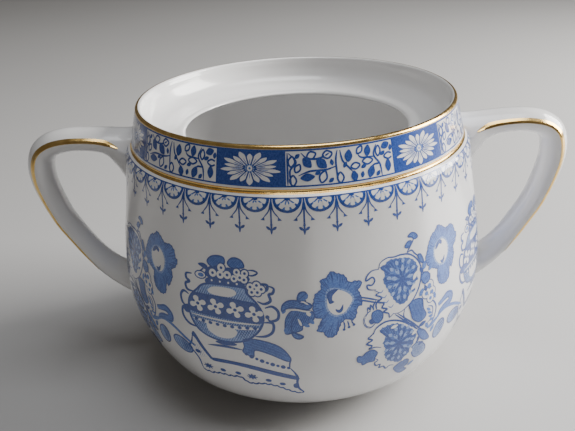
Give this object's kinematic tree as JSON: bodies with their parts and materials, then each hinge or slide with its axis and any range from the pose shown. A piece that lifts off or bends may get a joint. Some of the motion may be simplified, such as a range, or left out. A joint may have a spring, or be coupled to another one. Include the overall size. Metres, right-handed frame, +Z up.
{
  "type": "sugar bowl",
  "caption": "Round-bellied porcelain sugar bowl with two strap handles, an inner ledge for a lid, and gilt lines; shown without its lid",
  "frame": {"origin": "centre of the foot ring, on the surface it stands on", "axes": "+Z up, out of the mouth; handles along +X and -X; the printed vase faces -Y"},
  "size_m": [0.172, 0.1152, 0.0885],
  "materials": {
    "porcelain": "glossy clear glaze over white porcelain, with a blue transfer print",
    "gilding": "fired gold line, polished and slightly worn"
  },
  "bodies": {
    "root": {"bowl_body": "porcelain", "lid_gallery": "porcelain", "foot_ring": "porcelain", "left_handle": "porcelain", "right_handle": "porcelain", "rim_gilding": "gilding", "groove_gilding": "gilding", "left_handle_gilding_front": "gilding", "left_handle_gilding_back": "gilding", "right_handle_gilding_front": "gilding", "right_handle_gilding_back": "gilding"}
  },
  "joints": []
}
